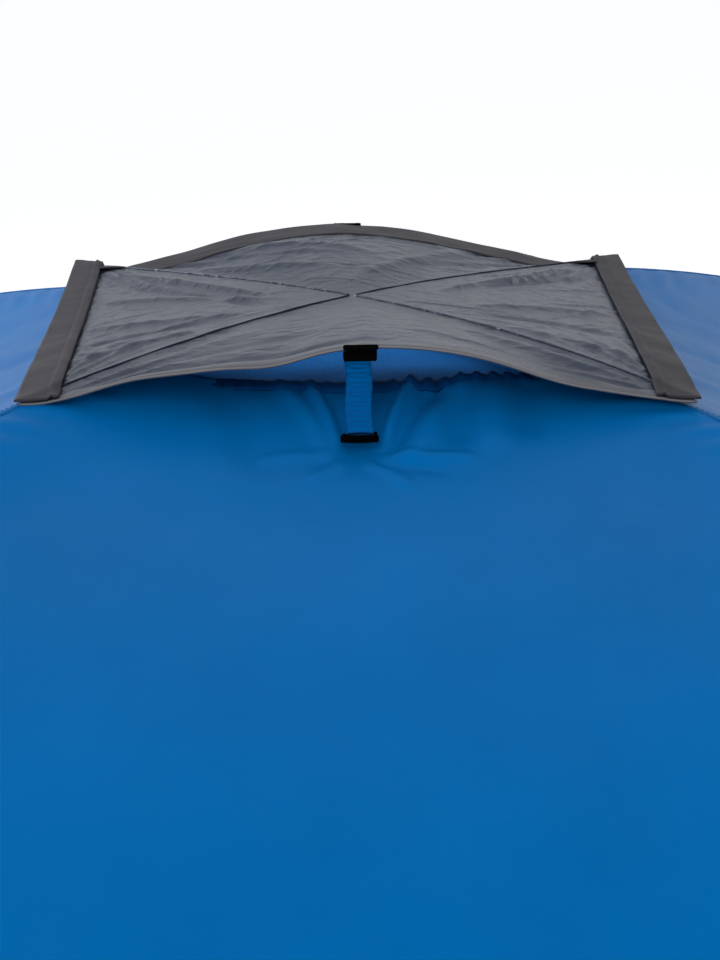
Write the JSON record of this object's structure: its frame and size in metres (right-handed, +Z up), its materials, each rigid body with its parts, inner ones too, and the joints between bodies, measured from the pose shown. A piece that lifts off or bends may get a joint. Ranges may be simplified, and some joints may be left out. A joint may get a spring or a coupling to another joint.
{
  "type": "dome tent",
  "caption": "Freestanding dome tent with crossing poles in sleeves, a tub floor, an arched zip door and a propped square hood over a mesh roof vent.",
  "frame": {"origin": "on the ground, under the crossing of the poles", "axes": "+Z up, -Y out of the plain side with the nearest strut, +Y out of the door side, +X to the right seen from the plain side"},
  "size_m": [2.2882, 2.2882, 1.3288],
  "materials": {
    "panel_blue": "coated ripstop polyester, satin",
    "sleeve_blue": "coated polyester, satin",
    "hood_gray": "coated polyester, satin",
    "band_gray": "coated polyester, matt",
    "hem_light": "folded hem, satin",
    "seam_navy": "binding, matt",
    "mesh_navy": "open mesh, matt",
    "strut_blue": "coated polyester, satin",
    "tub_gray": "coated woven floor, satin",
    "webbing_black": "woven webbing, matt",
    "hook_and_loop": "hook and loop, matt",
    "plastic_black": "moulded, satin",
    "stiffener": "flat strip, satin",
    "fibreglass": "smooth, satin",
    "elastic": "braided elastic, matt",
    "steel": "plated, satin",
    "zip_black": "nylon coil and tape",
    "zip_metal": "painted zinc, satin"
  },
  "bodies": {
    "tent": {"floor_sheet": "tub_gray", "tub_wall_front": "tub_gray", "tub_wall_right": "tub_gray", "tub_wall_rear": "tub_gray", "tub_wall_left": "tub_gray", "panel_front": "panel_blue", "panel_right": "panel_blue", "panel_rear": "panel_blue", "panel_left": "panel_blue", "ridge_tapes": "seam_navy", "sleeve_front_right": "sleeve_blue", "sleeve_rear_left": "sleeve_blue", "sleeve_front_left": "sleeve_blue", "sleeve_rear_right": "sleeve_blue", "vent_lip": "seam_navy", "vent_mesh": "mesh_navy", "crossing_tie": "webbing_black", "lantern_loop": "webbing_black", "lower_pole_rods": "fibreglass", "lower_pole_ferrules": "steel", "lower_pole_tips": "steel", "lower_shock_cord": "elastic", "upper_pole_rods": "fibreglass", "upper_pole_ferrules": "steel", "upper_pole_tips": "steel", "upper_shock_cord": "elastic", "corner_webbing": "webbing_black", "pole_eyelets": "steel", "peg_eyelets": "steel", "hood_gore_left": "hood_gray", "hood_gore_right": "hood_gray", "hood_band_left": "band_gray", "hood_band_right": "band_gray", "loop_patch_front": "hook_and_loop", "loop_patch_rear": "hook_and_loop", "zip_tape_body": "zip_black", "zip_coil_body": "zip_black"},
    "front_flap": {"hood_flap_front": "hood_gray", "hood_hem_front": "hem_light", "hem_tab_front": "webbing_black"},
    "front_strut": {"strut_sleeve_front": "strut_blue", "strut_stiffener_front": "stiffener", "strut_hook_tab_front": "hook_and_loop"},
    "rear_flap": {"hood_flap_rear": "hood_gray", "hood_band_rear": "band_gray", "hem_tab_rear": "webbing_black"},
    "rear_strut": {"strut_sleeve_rear": "strut_blue", "strut_stiffener_rear": "stiffener", "strut_hook_tab_rear": "hook_and_loop"},
    "door": {"door_panel": "panel_blue", "zip_tape_door": "zip_black", "zip_coil_door": "zip_black"},
    "zip_slider": {"zip_slider": "zip_metal"},
    "zip_puller": {"zip_puller": "zip_metal"},
    "lantern_ring": {"lantern_ring": "plastic_black"}
  },
  "joints": [
    {"name": "front_hood_drop", "type": "hinge", "parent": "tent", "child": "front_flap", "pos_m": [0, 0, 1.311], "axis": [1, 0, 0], "range_deg": [0, 7.5]},
    {"name": "front_strut_swing", "type": "hinge", "parent": "front_flap", "child": "front_strut", "pos_m": [0, -0.2, 1.31734], "axis": [-1, 0, 0], "range_deg": [0, 52.5]},
    {"name": "rear_hood_drop", "type": "hinge", "parent": "tent", "child": "rear_flap", "pos_m": [0, 0, 1.311], "axis": [-1, 0, 0], "range_deg": [0, 7.5]},
    {"name": "rear_strut_swing", "type": "hinge", "parent": "rear_flap", "child": "rear_strut", "pos_m": [0, 0.2, 1.32017], "axis": [1, 0, 0], "range_deg": [0, 52.5]},
    {"name": "door_fold", "type": "hinge", "parent": "tent", "child": "door", "pos_m": [0, 1.0925, 0.1695], "axis": [-1, 0, 0], "range_deg": [0, 110]},
    {"name": "zip_travel", "type": "hinge", "parent": "door", "child": "zip_slider", "pos_m": [0.38, -0.49092, 0.01669], "axis": [1, 0, 0], "range_deg": [0, 11.8]},
    {"name": "puller_swing", "type": "hinge", "parent": "zip_slider", "child": "zip_puller", "pos_m": [0.38, 1.09428, 0.21089], "axis": [1, 0, 0], "range_deg": [0, 150]},
    {"name": "lantern_ring_swing", "type": "hinge", "parent": "tent", "child": "lantern_ring", "pos_m": [0, 0, 1.273], "axis": [0, 1, 0], "range_deg": [-60, 60]}
  ],
  "couplings": [
    {"joint": "front_strut_swing", "follows": "front_hood_drop", "ratio": 7},
    {"joint": "rear_strut_swing", "follows": "rear_hood_drop", "ratio": 7}
  ]
}
